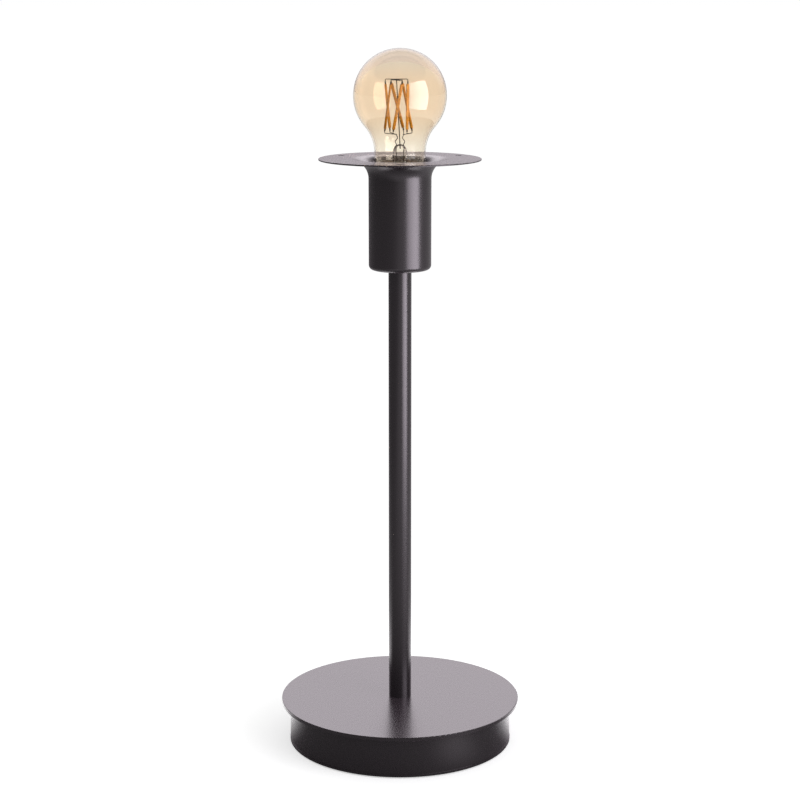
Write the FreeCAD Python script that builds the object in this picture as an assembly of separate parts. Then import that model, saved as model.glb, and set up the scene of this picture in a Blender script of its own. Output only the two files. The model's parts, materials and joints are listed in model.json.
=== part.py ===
import FreeCAD, Part
import math
import os

# Bare bulb table lamp: a two-step round base, a slim stem, a spun cup with a wide brim, a screw lamp
# holder in the cup, and a filament lamp bulb. Millimetres. The origin is on the lamp's axis, on the
# surface it stands on. +Z is up, and -Y is the front.

V = FreeCAD.Vector
axis_up = V(0, 0, 1)

# ---------------------------------------------------------------- sizes, all in millimetres
# Clearances
seat_clear = 0.05          # screwed or pushed-in pieces, on the radius
turn_clear = 0.3           # screw cap of the bulb in the holder's shell, on the radius
tip_clear = 0.1            # tip contact under the bulb's insulator
contact_gap = 0.2          # tip contact over the holder's spring
screw_tail = 1.0           # blind hole past a screw's end
cut_past = 1.0             # cutters past the faces they cut
moulded_edge = 0.4         # rounding of small moulded edges

# Inner leads
lead_r = 1.0
lead_gap = 0.3             # between the two leads
lead_room = 1.45           # round the pair, in the nipples
lead_low_bend = 5.0        # bend under the stem
lead_high_bend = 3.5       # bends under the holder's posts
lead_turn_run = 1.8        # straight kept for each turn there
lead_low_run = 2.0         # straight kept for each turn at the base
lead_splay_drop = 0.6      # start of the splay, below the upper nipple's top
lead_clamped = 5.0         # length in the terminal block

# Nipples, nuts and washers
nipple_wall = 1.4
nipple_in_plug = 12.0
nipple_in_holder = 7.0
nipple_out = 1.0           # past the lower nut
nut_land = 2.0             # from the thread to a flat
nut_height = 3.0
washer_width = 3.5
washer_t = 1.0

# Stem
plug_wall = 1.4
plug_length = 15.0
stem_wall = 1.0
stem_length = 291.3

# Base
disc_r = 80.0
disc_t = 2.5
disc_edge = 0.4            # rounding of the disc's edges
disc_overhang = 5.6
drum_sheet = 1.2
drum_corner = 2.0          # outer rounding of the spun drum
plate_lip = 0.3            # bottom plate past the drum
plate_t = 1.5
foot_t = 1.0
foot_inset = 6.0
foot_width = 12.0
weight_t = 10.0
weight_gap = 11.0          # from the weight to the drum's wall
weight_edge = 2.0
under_room = 13.8          # from the bottom plate to the weight
boss_count = 3
boss_inset = 9.0           # from the weight's rim to a boss's centre
boss_r = 5.0
boss_draft = 1.5           # growth of a boss's radius towards the weight
plate_screw_r = 1.5
plate_screw_head_r = 2.9
plate_screw_in = 8.0       # length in the boss

# Cord grommet in the back of the drum
cord_r = 3.2
cord_clear = 0.2
grommet_wall = 1.6
grommet_flange = 1.4       # flange past the hole, on the radius
grommet_flange_t = 1.6
grommet_lift = 0.5         # flange above the bottom plate

# Terminal block
block_gap = 12.0           # from the lower nut
block_length = 16.0
block_floor_gap = 3.8
block_wall = 1.8
block_edge = 0.8
pole_pitch = 10.0
tube_r = 2.5
tube_bore_r = 1.6
tube_inset = 1.0           # tube short of the block's ends
clamp_pitch = 8.0          # between the two clamp screws of a pole
clamp_r = 1.2
clamp_head_r = 1.7
clamp_head_h = 1.4
clamp_well = 0.25          # well round a screw head, on the radius
fixing_r = 1.4
fixing_head_r = 2.3
fixing_head_h = 1.4
fixing_in = 5.0

# Cup and brim, one spun sheet
cup_sheet = 1.0
cup_height = 71.9
cup_air = 2.8              # between the holder and the cup
cup_floor_round = 3.0      # outer rounding of the cup's floor
flare_r = 12.0              # outer sweep from the cup into the brim
brim_r = 52.5
brim_hole_count = 3
brim_hole_r = 2.1
brim_hole_inset = 8.2      # from the brim's edge to a hole's centre

# Lamp holder
holder_cap_h = 20.0
neck_wall = 4.0            # wall of the cap's threaded neck
neck_h = 6.0
neck_bore_h = 8.0
neck_foot_round = 0.8
neck_root_round = 1.5
shoulder_h = 3.0
cap_shoulder_round = 3.0
cap_wall = 3.0
cavity_rise = 2.0          # cavity's slant above the outer shoulder
cavity_round = 2.0
grub_r = 1.5
grub_z = 3.0               # above the cap's foot
grub_sunk = 0.2            # short of the neck's surface
carrier_t = 6.0
carrier_sunk = 2.0         # of the carrier's thickness in the cap
carrier_ledge = 1.1        # ledge of the skirt over the carrier
skirt_wall = 1.45
skirt_rim_round = 0.9
skirt_mouth_round = 0.6
shell_t = 0.4
shell_flange = 2.9
shell_short = 1.2          # shell below the skirt's rim
skirt_rim_gap = 2.0        # skirt below the rim of the bulb's cap
tab_width = 5.0
post_x = 7.5
post_r = 2.6
post_h = 5.0
post_bore_h = 4.0
post_stud_r = 1.2
post_screw_r = 1.0
post_screw_out = 1.0
tongue_rise = 5.5
tongue_width = 6.0
tongue_t = 0.5
tongue_top = 5.0           # length of its flat top
tongue_curl = 1.0          # turned-down free end

# Bulb: screw cap
cap_r = 13.1
cap_sheet_t = 0.3
cap_height = 27.0          # from the tip contact to the rim
cap_lip_z = 6.5            # start of the lower lip, above the tip
cap_lip_in = 1.2
cap_lip_drop = 1.4
tip_r = 4.8
tip_h = 1.5
tip_dome = 0.7
insulator_foot = 0.8       # insulator past the tip, on the radius
insulator_h = 6.4
insulator_clear = 0.4      # from the cap's sheet
tip_wire_r = 0.4
board_t = 1.0
board_gap = 0.2            # board below the glass
board_clear = 0.6          # board inside the cap
capacitor_r = 4.0
capacitor_h = 7.0
capacitor_gap = 2.0        # from the axis
rectifier_size = (5.0, 4.0, 2.5)
rectifier_corner = (-8.0, -6.0)
resistor_r = 1.2
resistor_length = 6.0
resistor_end = (3.0, -9.0)
coil_r = 2.0
coil_h = 5.0
coil_place = (6.5, -3.0)
side_wire_x = 9.0
side_wire_drop = 3.0
side_wire_bend = 1.2

# Bulb: glass
glass_t = 0.8
glass_in_cap = 9.0
cement_t = 0.4             # from the glass to the cap's sheet
glass_r = 30.0
glass_blend = 25.6         # hollow sweep from the neck to the ball
glass_neck_r = 16.5
glass_neck_h = 13.8        # from the cap's rim to the start of the sweep
shoulder_foot = 1.5        # narrow part above the cap's rim
shoulder_rise = 7.5
shoulder_round = 8.0
shoulder_hollow = 3.0

# Bulb: glass mount
mount_h = 27.5
mount_tube_r = 4.0
mount_flare_h = 8.0
mount_foot_h = 2.0         # upright foot of the flare
mount_foot_round = 2.0
mount_tube_round = 3.0
press_h = 6.0
press_width = 9.0
press_t = 3.0
exhaust_r = 1.5
exhaust_bore_r = 0.9
mount_wire_x = 2.3
mount_wire_r = 0.25

# Bulb: filament cage
filament_count = 6
filament_r = 0.8
filament_rise = 31.0       # height of a bar with its clips
clip_r = 0.45
clip_length = 1.6
cage_lift = 9.45           # clips above the mount
cage_foot_r = 8.9
cage_head_r = 7.2
cage_twist = 52.0          # degrees from a bar's head to its foot
cage_foot_shift = -1.0     # the cage leans a little, as it was wired by hand
cage_head_shift = -2.2
hub_lift = 7.3             # start of the lower arms, above the mount
hub_bead_r = 0.45
knee_drop = 1.2
kink = 0.9                 # sideways kinks of the lead wires
kink_heights = (0.125, 0.375, 0.675)   # shares of the way from the mount to the hub
wire_bend = 0.7
bridge_rises = (1.5, 1.1, 0.8)   # the three top wires above the clips
centre_wire_r = 0.32
centre_wire_in = 2.0       # length in the press
weld_gap = 0.1             # wire end under a clip's slanting end

# ---------------------------------------------------------------- worked-out sizes
lead_x = lead_r + lead_gap / 2
nipple_bore_r = lead_x + lead_r + lead_room
nipple_r = nipple_bore_r + nipple_wall
thread_bore_r = nipple_r + seat_clear
nut_flat_r = nipple_r + nut_land
nut_corner_r = nut_flat_r / math.cos(math.radians(30))
washer_r = nipple_r + washer_width
plug_r = thread_bore_r + plug_wall
stem_bore_r = plug_r + seat_clear
stem_r = stem_bore_r + stem_wall

drum_r = disc_r - disc_overhang
drum_bore_r = drum_r - drum_sheet
plate_r = drum_r + plate_lip
weight_r = drum_bore_r - weight_gap
boss_circle_r = weight_r - boss_inset
plate_z = foot_t
drum_z = plate_z + plate_t
weight_z = drum_z + under_room
drum_top_z = weight_z + weight_t + drum_sheet
base_z = drum_top_z + disc_t
base_nut_z = weight_z - washer_t - nut_height
lower_nipple_z = base_nut_z - nipple_out

grommet_bore_r = cord_r + cord_clear
grommet_neck_r = grommet_bore_r + grommet_wall
grommet_r = grommet_neck_r + grommet_flange
grommet_z = drum_z + grommet_r + grommet_lift

block_y = nut_corner_r + block_gap
block_h = under_room - block_floor_gap
block_low_z = weight_z - block_h
block_width = pole_pitch + 2 * (tube_r + block_wall)
pole_z = weight_z - block_h / 2
clamp_tip_z = pole_z - lead_r - seat_clear

cup_z = base_z + stem_length
brim_z = cup_z + cup_height
holder_z = cup_z + cup_sheet + washer_t + nut_height
holder_joint_z = holder_z + holder_cap_h
carrier_z = holder_joint_z - carrier_sunk
carrier_top_z = carrier_z + carrier_t
post_z = carrier_z - post_h
upper_nipple_top_z = holder_z + nipple_in_holder

shell_bore_r = cap_r + turn_clear
shell_r = shell_bore_r + shell_t
skirt_bore_r = shell_r + 2 * seat_clear
carrier_r = skirt_bore_r + carrier_ledge
pocket_r = carrier_r + seat_clear
holder_r = pocket_r + skirt_wall
cup_bore_r = holder_r + cup_air
cup_r = cup_bore_r + cup_sheet

tip_z = carrier_top_z + tongue_rise + contact_gap
cap_rim_z = tip_z + cap_height
skirt_rim_z = cap_rim_z - skirt_rim_gap
shell_rim_z = skirt_rim_z - shell_short
cap_bore_r = cap_r - cap_sheet_t

glass_seat_r = cap_bore_r - cement_t
glass_foot_z = cap_rim_z - glass_in_cap
glass_sweep_z = cap_rim_z + glass_neck_h
ball_z = glass_sweep_z + math.sqrt((glass_r + glass_blend) ** 2 - (glass_neck_r + glass_blend) ** 2)
board_top_z = glass_foot_z - board_gap
board_z = board_top_z - board_t
mount_r = glass_seat_r - glass_t - seat_clear
press_z = glass_foot_z + mount_h - press_h
press_top_z = glass_foot_z + mount_h
clip_foot_z = press_top_z + cage_lift
clip_head_z = clip_foot_z + filament_rise


# ---------------------------------------------------------------- shared forms
def rounded_edges(points, radii, closed):
    """Edges of a run of points whose corners are tangent arcs of the given radii, 0 for a sharp one."""
    count = len(points)
    trims = []
    arcs = []
    for i, corner in enumerate(points):
        if radii[i] <= 0 or (not closed and i in (0, count - 1)):
            trims.append((corner, corner))
            arcs.append(None)
            continue
        back = (points[i - 1] - corner).normalize()
        ahead = (points[(i + 1) % count] - corner).normalize()
        half = back.getAngle(ahead) / 2
        run = radii[i] / math.tan(half)
        start = corner + back * run
        end = corner + ahead * run
        middle = corner + (back + ahead).normalize() * (radii[i] / math.sin(half) - radii[i])
        trims.append((start, end))
        arcs.append(Part.Arc(start, middle, end).toShape())
    edges = []
    for i in range(count):
        if arcs[i]:
            edges.append(arcs[i])
        if not closed and i == count - 1:
            break
        start = trims[i][1]
        end = trims[(i + 1) % count][0]
        if start.distanceToPoint(end) > 1e-6:
            edges.append(Part.makeLine(start, end))
    return edges


def turned(corners):
    """Solid of revolution about the lamp's axis from corners of (radius, height, rounding)."""
    points = [V(c[0], 0, c[1]) for c in corners]
    radii = [c[2] if len(c) > 2 else 0 for c in corners]
    face = Part.Face(Part.Wire(rounded_edges(points, radii, True)))
    return face.revolve(V(0, 0, 0), axis_up, 360)


def ring(inner_r, outer_r, low_z, high_z):
    return turned([(inner_r, low_z), (outer_r, low_z), (outer_r, high_z), (inner_r, high_z)])


def rod(radius, start, end):
    """Round bar between two points."""
    along = end - start
    return Part.makeCylinder(radius, along.Length, start, along)


def swept_wire(radius, points, radii):
    """Round wire along straight runs joined by tangent arcs."""
    path = Part.Wire(rounded_edges(points, radii, False))
    along = points[1] - points[0]
    section = Part.Wire(Part.makeCircle(radius, points[0], along))
    return path.makePipeShell([section], True, False)


def hex_nut(low_z):
    """Hexagonal nut on a nipple, with its outer corners turned off at top and bottom."""
    corners = [V(nut_corner_r * math.cos(math.radians(60 * i)),
                 nut_corner_r * math.sin(math.radians(60 * i)), low_z) for i in range(7)]
    blank = Part.Face(Part.makePolygon(corners)).extrude(axis_up * nut_height)
    corner_cut = nut_corner_r - nut_flat_r
    barrel = turned([(thread_bore_r, low_z), (nut_flat_r, low_z), (nut_corner_r, low_z + corner_cut / 2),
                     (nut_corner_r, low_z + nut_height - corner_cut / 2),
                     (nut_flat_r, low_z + nut_height), (thread_bore_r, low_z + nut_height)])
    return blank.common(barrel)


def polar(radius, degrees, z):
    angle = math.radians(degrees)
    return V(radius * math.cos(angle), radius * math.sin(angle), z)


# ---------------------------------------------------------------- base
def boss_points(z):
    """Centres of the weight's bosses: one in front, the others behind, clear of the cord's way in."""
    return [polar(boss_circle_r, 360 * i / boss_count - 90, z) for i in range(boss_count)]


def foot_ring():
    outer_r = plate_r - foot_inset
    return ring(outer_r - foot_width, outer_r, 0, foot_t)


def bottom_plate():
    plate = ring(0, plate_r, plate_z, drum_z)
    for foot in boss_points(plate_z):
        plate = plate.cut(Part.makeCone(plate_screw_head_r + seat_clear, plate_screw_r + seat_clear,
                                        plate_t, foot, axis_up))
    return plate


def plate_screws():
    screws = []
    for foot in boss_points(plate_z):
        head = Part.makeCone(plate_screw_head_r, plate_screw_r, plate_t, foot, axis_up)
        screws.append(head.fuse(rod(plate_screw_r, foot, foot + axis_up * (plate_t + plate_screw_in))))
    return Part.makeCompound(screws)


def base_weight():
    """Cast disc with three drafted bosses that reach down to the bottom plate."""
    weight = turned([(thread_bore_r, weight_z), (weight_r, weight_z, weight_edge),
                     (weight_r, weight_z + weight_t, weight_edge), (thread_bore_r, weight_z + weight_t)])
    for foot in boss_points(drum_z):
        weight = weight.fuse(Part.makeCone(boss_r, boss_r + boss_draft, under_room, foot, axis_up))
    for foot in boss_points(drum_z):
        depth = axis_up * (plate_screw_in + screw_tail)
        weight = weight.cut(rod(plate_screw_r + seat_clear, foot, foot + depth))
    block_centre = V(0, block_y + block_length / 2, weight_z)
    fixing_depth = axis_up * (fixing_in + screw_tail)
    return weight.cut(rod(fixing_r + seat_clear, block_centre, block_centre + fixing_depth))


def base_drum():
    """Spun pan, open below, with a hole in its back for the cord grommet."""
    drum = turned([(thread_bore_r, drum_top_z - drum_sheet),
                   (drum_bore_r, drum_top_z - drum_sheet, drum_corner - drum_sheet),
                   (drum_bore_r, drum_z), (drum_r, drum_z), (drum_r, drum_top_z, drum_corner),
                   (thread_bore_r, drum_top_z)])
    inside = V(0, drum_bore_r - drum_sheet, grommet_z)
    return drum.cut(rod(grommet_neck_r + seat_clear, inside, inside + V(0, 3 * drum_sheet, 0)))


def base_disc():
    return turned([(thread_bore_r, drum_top_z), (disc_r, drum_top_z, disc_edge),
                   (disc_r, base_z, disc_edge), (thread_bore_r, base_z)])


def base_washer():
    return ring(thread_bore_r, washer_r, weight_z - washer_t, weight_z)


def cord_grommet():
    """Soft bush: a flange on each side of the drum's wall, curved with it, and a bore for the cord."""
    wall_in = drum_bore_r - seat_clear
    wall_out = drum_r + seat_clear
    start = V(0, wall_in - 2 * grommet_flange_t, grommet_z)
    end = V(0, wall_out + 2 * grommet_flange_t, grommet_z)
    low_z = grommet_z - 2 * grommet_r
    high_z = grommet_z + 2 * grommet_r
    bush = rod(grommet_r, start, end).common(
        ring(wall_in - grommet_flange_t, wall_out + grommet_flange_t, low_z, high_z))
    groove = ring(wall_in, wall_out, low_z, high_z).cut(rod(grommet_neck_r, start, end))
    return bush.cut(groove).cut(rod(grommet_bore_r, start, end))


# ---------------------------------------------------------------- terminal block under the weight
def clamp_points():
    """The clamp screws' places: two on each pole, one for the cord and one for the inner lead."""
    middle_y = block_y + block_length / 2
    return [(side * pole_pitch / 2, middle_y + end * clamp_pitch / 2)
            for side in (-1, 1) for end in (-1, 1)]


def terminal_block():
    block = Part.makeBox(block_width, block_length, block_h, V(-block_width / 2, block_y, block_low_z))
    block = block.makeFillet(block_edge, [e for e in block.Edges
                                          if abs(e.Vertexes[0].Z - e.Vertexes[1].Z) > block_edge])
    for side in (-1, 1):
        start = V(side * pole_pitch / 2, block_y, pole_z)
        block = block.cut(rod(tube_r + seat_clear, start, start + V(0, block_length, 0)))
    for x, y in clamp_points():
        well_r = clamp_head_r + clamp_well
        block = block.cut(rod(well_r, V(x, y, block_low_z), V(x, y, pole_z)))
    hole = V(0, block_y + block_length / 2, block_low_z)
    return block.cut(rod(fixing_r + seat_clear, hole, hole + axis_up * block_h))


def terminal_tubes():
    tubes = []
    for side in (-1, 1):
        start = V(side * pole_pitch / 2, block_y + tube_inset, pole_z)
        end = start + V(0, block_length - 2 * tube_inset, 0)
        tube = rod(tube_r, start, end).cut(rod(tube_bore_r, start, end))
        for x, y in clamp_points():
            tube = tube.cut(rod(clamp_r + seat_clear, V(x, y, block_low_z), V(x, y, pole_z)))
        tubes.append(tube)
    return Part.makeCompound(tubes)


def terminal_screws():
    screws = []
    for x, y in clamp_points():
        head_z = pole_z - tube_r - seat_clear
        shank = rod(clamp_r, V(x, y, head_z), V(x, y, clamp_tip_z))
        head = rod(clamp_head_r, V(x, y, head_z - clamp_head_h), V(x, y, head_z))
        screws.append(shank.fuse(head))
    return Part.makeCompound(screws)


def block_screw():
    middle_y = block_y + block_length / 2
    seat = V(0, middle_y, block_low_z)
    head = rod(fixing_head_r, seat - axis_up * fixing_head_h, seat)
    return head.fuse(rod(fixing_r, seat, seat + axis_up * (block_h + fixing_in)))


# ---------------------------------------------------------------- stem
def stem_tube():
    return ring(stem_bore_r, stem_r, base_z, cup_z)


def stem_plug(low_z):
    return ring(thread_bore_r, plug_r, low_z, low_z + plug_length)


def lower_nipple():
    return ring(nipple_bore_r, nipple_r, lower_nipple_z, base_z + nipple_in_plug)


def upper_nipple():
    return ring(nipple_bore_r, nipple_r, cup_z - nipple_in_plug, upper_nipple_top_z)


def inner_lead(side):
    """One insulated lead: out of its clamp, down and under the stem, up through the bore and to its
    post in the holder."""
    pole_x = side * pole_pitch / 2
    low_z = lower_nipple_z - lead_low_bend
    points = [V(pole_x, block_y + lead_clamped, pole_z),
              V(pole_x, block_y - 2 * lead_low_run, pole_z),
              V(side * lead_x, lead_low_bend + lead_low_run, low_z),
              V(side * lead_x, 0, low_z),
              V(side * lead_x, 0, upper_nipple_top_z - lead_splay_drop),
              V(side * post_x, 0, post_z - lead_turn_run),
              V(side * post_x, 0, post_z + post_bore_h - seat_clear)]
    radii = [0, lead_low_bend, lead_low_bend, lead_low_bend, lead_high_bend, lead_high_bend, 0]
    return swept_wire(lead_r, points, radii)


# ---------------------------------------------------------------- cup
def socket_cup():
    """Spun hat: floor, straight wall, flared mouth and flat brim in one sheet of even thickness."""
    sheet = cup_sheet
    cup = turned([(thread_bore_r, cup_z), (cup_r, cup_z, cup_floor_round),
                  (cup_r, brim_z - sheet, flare_r), (brim_r, brim_z - sheet, sheet / 3),
                  (brim_r, brim_z, sheet / 3), (cup_bore_r, brim_z, flare_r + sheet),
                  (cup_bore_r, cup_z + sheet, cup_floor_round - sheet), (thread_bore_r, cup_z + sheet)])
    for i in range(brim_hole_count):
        centre = polar(brim_r - brim_hole_inset, 360 * i / brim_hole_count - 90, brim_z - 2 * sheet)
        cup = cup.cut(rod(brim_hole_r, centre, centre + axis_up * 3 * sheet))
    return cup


def cup_washer():
    return ring(thread_bore_r, washer_r, cup_z + cup_sheet, cup_z + cup_sheet + washer_t)


# ---------------------------------------------------------------- lamp holder
def holder_cap():
    """Moulded cap: threaded neck, rounded shoulder, straight wall and a recess for the carrier."""
    neck_r = thread_bore_r + neck_wall
    cavity_r = holder_r - cap_wall
    neck_top_z = holder_z + neck_h
    wall_z = neck_top_z + shoulder_h
    cap = turned([(thread_bore_r, holder_z), (neck_r, holder_z, neck_foot_round),
                  (neck_r, neck_top_z, neck_root_round), (holder_r, wall_z, cap_shoulder_round),
                  (holder_r, holder_joint_z), (pocket_r, holder_joint_z), (pocket_r, carrier_z),
                  (cavity_r, carrier_z), (cavity_r, wall_z + cavity_rise, cavity_round),
                  (thread_bore_r, holder_z + neck_bore_h)])
    screw_start = V(thread_bore_r - cut_past, 0, holder_z + grub_z)
    reach = V(neck_wall + 2 * cut_past, 0, 0)
    return cap.cut(rod(grub_r + seat_clear, screw_start, screw_start + reach))


def holder_grub_screw():
    z = holder_z + grub_z
    return rod(grub_r, V(thread_bore_r, 0, z), V(thread_bore_r + neck_wall - grub_sunk, 0, z))


def holder_carrier():
    """Insulating disc between cap and skirt, with holes for the posts' studs."""
    carrier = turned([(0, carrier_z), (carrier_r, carrier_z, moulded_edge),
                      (carrier_r, carrier_top_z, moulded_edge), (0, carrier_top_z)])
    for side in (-1, 1):
        foot = V(side * post_x, 0, carrier_z)
        carrier = carrier.cut(rod(post_stud_r + seat_clear, foot, foot + axis_up * carrier_t))
    return carrier


def holder_posts():
    posts = []
    for side in (-1, 1):
        foot = V(side * post_x, 0, post_z)
        post = rod(post_r, foot, V(foot.x, 0, carrier_z))
        post = post.fuse(rod(post_stud_r, foot, V(foot.x, 0, carrier_top_z)))
        post = post.cut(rod(lead_r + seat_clear, foot, foot + axis_up * post_bore_h))
        screw_z = post_z + post_bore_h / 2
        start = V(side * post_x, 0, screw_z)
        posts.append(post.cut(rod(post_screw_r + seat_clear, start, start + V(side * 2 * post_r, 0, 0))))
    return Part.makeCompound(posts)


def holder_post_screws():
    screw_z = post_z + post_bore_h / 2
    return Part.makeCompound([rod(post_screw_r, V(side * (post_x + lead_r + seat_clear), 0, screw_z),
                                  V(side * (post_x + post_r + post_screw_out), 0, screw_z))
                              for side in (-1, 1)])


def holder_tongue():
    """Bent spring strip: a foot over one post, a slope up, and a flat top on the axis."""
    low_z = carrier_top_z
    top_z = low_z + tongue_rise
    half_top = tongue_top / 2
    foot_end = post_x + post_stud_r + tongue_t
    slope_foot = post_x - post_stud_r
    points = [V(foot_end, 0, low_z), V(foot_end, 0, low_z + tongue_t), V(slope_foot, 0, low_z + tongue_t),
              V(half_top, 0, top_z), V(-half_top, 0, top_z),
              V(-half_top - tongue_curl, 0, top_z - tongue_curl),
              V(-half_top - tongue_curl + tongue_t, 0, top_z - tongue_curl - tongue_t / 2),
              V(-half_top + tongue_t / 2, 0, top_z - tongue_t),
              V(half_top - tongue_t / 2, 0, top_z - tongue_t), V(slope_foot - tongue_t, 0, low_z)]
    strip = Part.Face(Part.makePolygon(points + [points[0]]))
    strip.translate(V(0, -tongue_width / 2, 0))
    return strip.extrude(V(0, tongue_width, 0))


def holder_shell():
    """Screw shell with a flange on the carrier and a tab to the other post."""
    flange_r = shell_bore_r - shell_flange
    shell = turned([(flange_r, carrier_top_z), (shell_r, carrier_top_z, shell_t), (shell_r, shell_rim_z),
                    (shell_bore_r, shell_rim_z), (shell_bore_r, carrier_top_z + shell_t),
                    (flange_r, carrier_top_z + shell_t)])
    tab_end = -post_x + post_stud_r
    tab = Part.makeBox(flange_r + tab_end + shell_t, tab_width, shell_t,
                       V(-flange_r - shell_t, -tab_width / 2, carrier_top_z))
    return shell.fuse(tab)


def holder_skirt():
    ledge_z = carrier_top_z + seat_clear
    return turned([(pocket_r, holder_joint_z), (holder_r, holder_joint_z),
                   (holder_r, skirt_rim_z, skirt_rim_round),
                   (skirt_bore_r, skirt_rim_z, skirt_mouth_round), (skirt_bore_r, ledge_z),
                   (pocket_r, ledge_z)])


# ---------------------------------------------------------------- bulb: cap
def bulb_tip():
    return turned([(0, tip_z), (tip_r - tip_dome, tip_z, tip_dome), (tip_r, tip_z + tip_dome),
                   (tip_r, tip_z + tip_h), (0, tip_z + tip_h)])


def bulb_insulator():
    """Black glass cone that carries the tip under the cap, with a hole for its wire."""
    foot_z = tip_z + tip_h + tip_clear
    top_r = cap_bore_r - insulator_clear
    lip_r = top_r - cap_lip_in
    return turned([(2 * tip_wire_r, foot_z), (tip_r + insulator_foot, foot_z, moulded_edge),
                   (lip_r, tip_z + cap_lip_z - cap_lip_drop), (top_r, tip_z + cap_lip_z),
                   (top_r, foot_z + insulator_h), (2 * tip_wire_r, foot_z + insulator_h)])


def bulb_cap():
    """Thin drawn shell with a lower lip turned in round the insulator."""
    lip_z = tip_z + cap_lip_z
    return turned([(cap_r - cap_lip_in, lip_z - cap_lip_drop), (cap_r, lip_z), (cap_r, cap_rim_z),
                   (cap_bore_r, cap_rim_z), (cap_bore_r, lip_z),
                   (cap_bore_r - cap_lip_in, lip_z - cap_lip_drop)])


def driver_board():
    return ring(exhaust_r, cap_bore_r - board_clear, board_z, board_top_z)


def driver_parts():
    """Capacitor, rectifier, resistor and coil under the board."""
    capacitor = Part.makeCylinder(capacitor_r, capacitor_h,
                                  V(0, capacitor_r + capacitor_gap, board_z - capacitor_h))
    rectifier = Part.makeBox(*rectifier_size, V(*rectifier_corner, board_z - rectifier_size[2]))
    resistor = Part.makeCylinder(resistor_r, resistor_length, V(*resistor_end, board_z - resistor_r),
                                 V(0, 1, 0))
    coil = Part.makeCylinder(coil_r, coil_h, V(*coil_place, board_z - coil_h))
    return Part.makeCompound([capacitor, rectifier, resistor, coil])


def cap_wires():
    """One wire from the board to the tip, and one to the cap's side."""
    tip_wire = rod(tip_wire_r, V(0, 0, tip_z + tip_h + tip_clear), V(0, 0, board_z))
    turn_z = board_z - side_wire_drop
    side_end = cap_bore_r - seat_clear
    side_wire = swept_wire(tip_wire_r, [V(-side_wire_x, 0, board_z), V(-side_wire_x, 0, turn_z),
                                        V(-side_end, 0, turn_z)], [0, side_wire_bend, 0])
    return Part.makeCompound([tip_wire, side_wire])


# ---------------------------------------------------------------- bulb: glass
def glass_outline(inset):
    """Edges of the bulb's outline, set in from its surface: narrow foot, shoulder, neck, hollow sweep
    and ball, from the foot up to the axis."""
    sweep_centre = V(glass_neck_r + glass_blend, 0, glass_sweep_z)
    ball_centre = V(0, 0, ball_z)
    neck_top = V(glass_neck_r - inset, 0, glass_sweep_z)
    foot_turn_z = cap_rim_z + shoulder_foot
    edges = rounded_edges(
        [V(glass_seat_r - inset, 0, glass_foot_z), V(glass_seat_r - inset, 0, foot_turn_z),
         V(glass_neck_r - inset, 0, foot_turn_z + shoulder_rise), neck_top],
        [0, shoulder_hollow + inset, shoulder_round - inset, 0], False)
    to_sweep = (sweep_centre - ball_centre).normalize()
    join = ball_centre + to_sweep * (glass_r - inset)
    middle = (V(-1, 0, 0) - to_sweep).normalize()
    edges.append(Part.Arc(neck_top, sweep_centre + middle * (glass_blend + inset), join).toShape())
    side = (to_sweep + V(0, 0, 1)).normalize()
    top = ball_centre + V(0, 0, glass_r - inset)
    edges.append(Part.Arc(join, ball_centre + side * (glass_r - inset), top).toShape())
    return edges


def bulb_glass():
    outer = glass_outline(0)
    inner = glass_outline(glass_t)
    foot = Part.makeLine(inner[0].Vertexes[0].Point, outer[0].Vertexes[0].Point)
    top = Part.makeLine(V(0, 0, ball_z + glass_r), V(0, 0, ball_z + glass_r - glass_t))
    wire = Part.Wire(Part.__sortEdges__([foot] + outer + [top] + inner))
    return Part.Face(wire).revolve(V(0, 0, 0), axis_up, 360)


def centre_wire(radius, sunk):
    """The cage's centre wire: from inside the press to the highest top wire, leaning with the cage."""
    top = V(cage_head_shift, 0, clip_head_z + max(bridge_rises))
    up = (top - V(0, 0, press_top_z)).normalize()
    return rod(radius, V(0, 0, press_top_z) - up * sunk, top)


def mount_wire_holes(shape):
    for side in (-1, 1):
        foot = V(side * mount_wire_x, 0, press_z - cut_past)
        top = foot + axis_up * (press_h + 2 * cut_past)
        shape = shape.cut(rod(mount_wire_r + seat_clear, foot, top))
    return shape.cut(centre_wire(centre_wire_r + seat_clear, centre_wire_in + seat_clear))


def bulb_mount():
    """Glass mount: flared foot, tube, exhaust tube inside it, and a flat press on top."""
    tube_in = mount_tube_r - glass_t
    flare_z = glass_foot_z + mount_foot_h
    tube_z = glass_foot_z + mount_flare_h
    flare = turned([(mount_r - glass_t, glass_foot_z), (mount_r, glass_foot_z),
                    (mount_r, flare_z, mount_foot_round), (mount_tube_r, tube_z, mount_tube_round),
                    (mount_tube_r, press_z), (tube_in, press_z),
                    (tube_in, tube_z, mount_tube_round + glass_t),
                    (mount_r - glass_t, flare_z - glass_t, mount_foot_round - glass_t)])
    exhaust = ring(exhaust_bore_r, exhaust_r, glass_foot_z, press_z)
    neck = Part.Wire(Part.makeCircle(mount_tube_r, V(0, 0, press_z)))
    flat = Part.Wire(Part.makeCircle(mount_tube_r, V(0, 0, 0)))
    stretch = FreeCAD.Matrix()
    stretch.scale(press_width / 2 / mount_tube_r, press_t / 2 / mount_tube_r, 1)
    flat = flat.transformGeometry(stretch)
    shoulder = flat.copy()
    shoulder.translate(V(0, 0, press_z + press_h / 2))
    flat.translate(V(0, 0, press_top_z))
    press = Part.makeLoft([neck, shoulder], True, True)
    blade = Part.makeLoft([shoulder, flat], True, True)
    return mount_wire_holes(flare.fuse([exhaust, press, blade]))


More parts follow.
